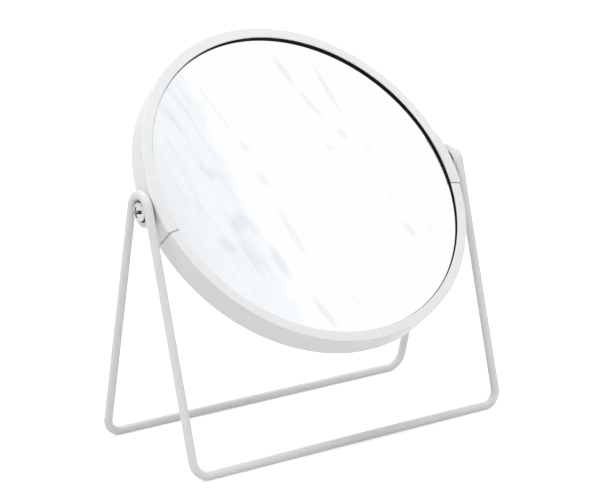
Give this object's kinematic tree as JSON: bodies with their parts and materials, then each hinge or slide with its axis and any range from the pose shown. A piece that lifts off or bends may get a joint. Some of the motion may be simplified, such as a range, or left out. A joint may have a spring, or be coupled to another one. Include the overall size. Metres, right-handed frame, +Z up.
{
  "type": "tabletop makeup mirror",
  "caption": "Round double-sided makeup mirror in a slim channel rim, tilting on side screws between the loops of a bent wire stand; the rear glass magnifies.",
  "frame": {"origin": "on the table, straight below the middle of the pivot axis", "axes": "+Z up, the mirror faces -Y and leans back, the pivot axis runs along X"},
  "size_m": [0.1852, 0.119, 0.1866],
  "materials": {
    "white_powder_coat": "smooth white powder coat on steel wire, satin",
    "white_rim": "white moulded plastic, satin",
    "white_clip": "white moulded plastic, satin",
    "mirror_glass": "silvered glass",
    "dark_seal": "matt black rubber",
    "grey_spacer": "matt grey plastic",
    "plate_steel": "zinc plated steel",
    "plated_screw": "satin nickel plated steel",
    "dark_washer": "black friction plastic"
  },
  "bodies": {
    "stand": {"wire_stand": "white_powder_coat", "left_pivot_lug": "white_powder_coat", "right_pivot_lug": "white_powder_coat"},
    "head": {"upper_rim": "white_rim", "lower_rim": "white_rim", "left_pivot_clip": "white_clip", "right_pivot_clip": "white_clip", "front_mirror": "mirror_glass", "rear_mirror": "mirror_glass", "front_gasket": "dark_seal", "rear_gasket": "dark_seal", "spacer_ring": "grey_spacer", "left_thread_plate": "plate_steel", "right_thread_plate": "plate_steel", "left_pivot_screw": "plated_screw", "right_pivot_screw": "plated_screw", "left_outer_washer": "dark_washer", "right_outer_washer": "dark_washer", "left_inner_washer": "dark_washer", "right_inner_washer": "dark_washer"}
  },
  "joints": [
    {"name": "head_tilt", "type": "hinge", "parent": "stand", "child": "head", "pos_m": [0, 0, 0.1173], "axis": [1, 0, 0], "continuous": true}
  ]
}
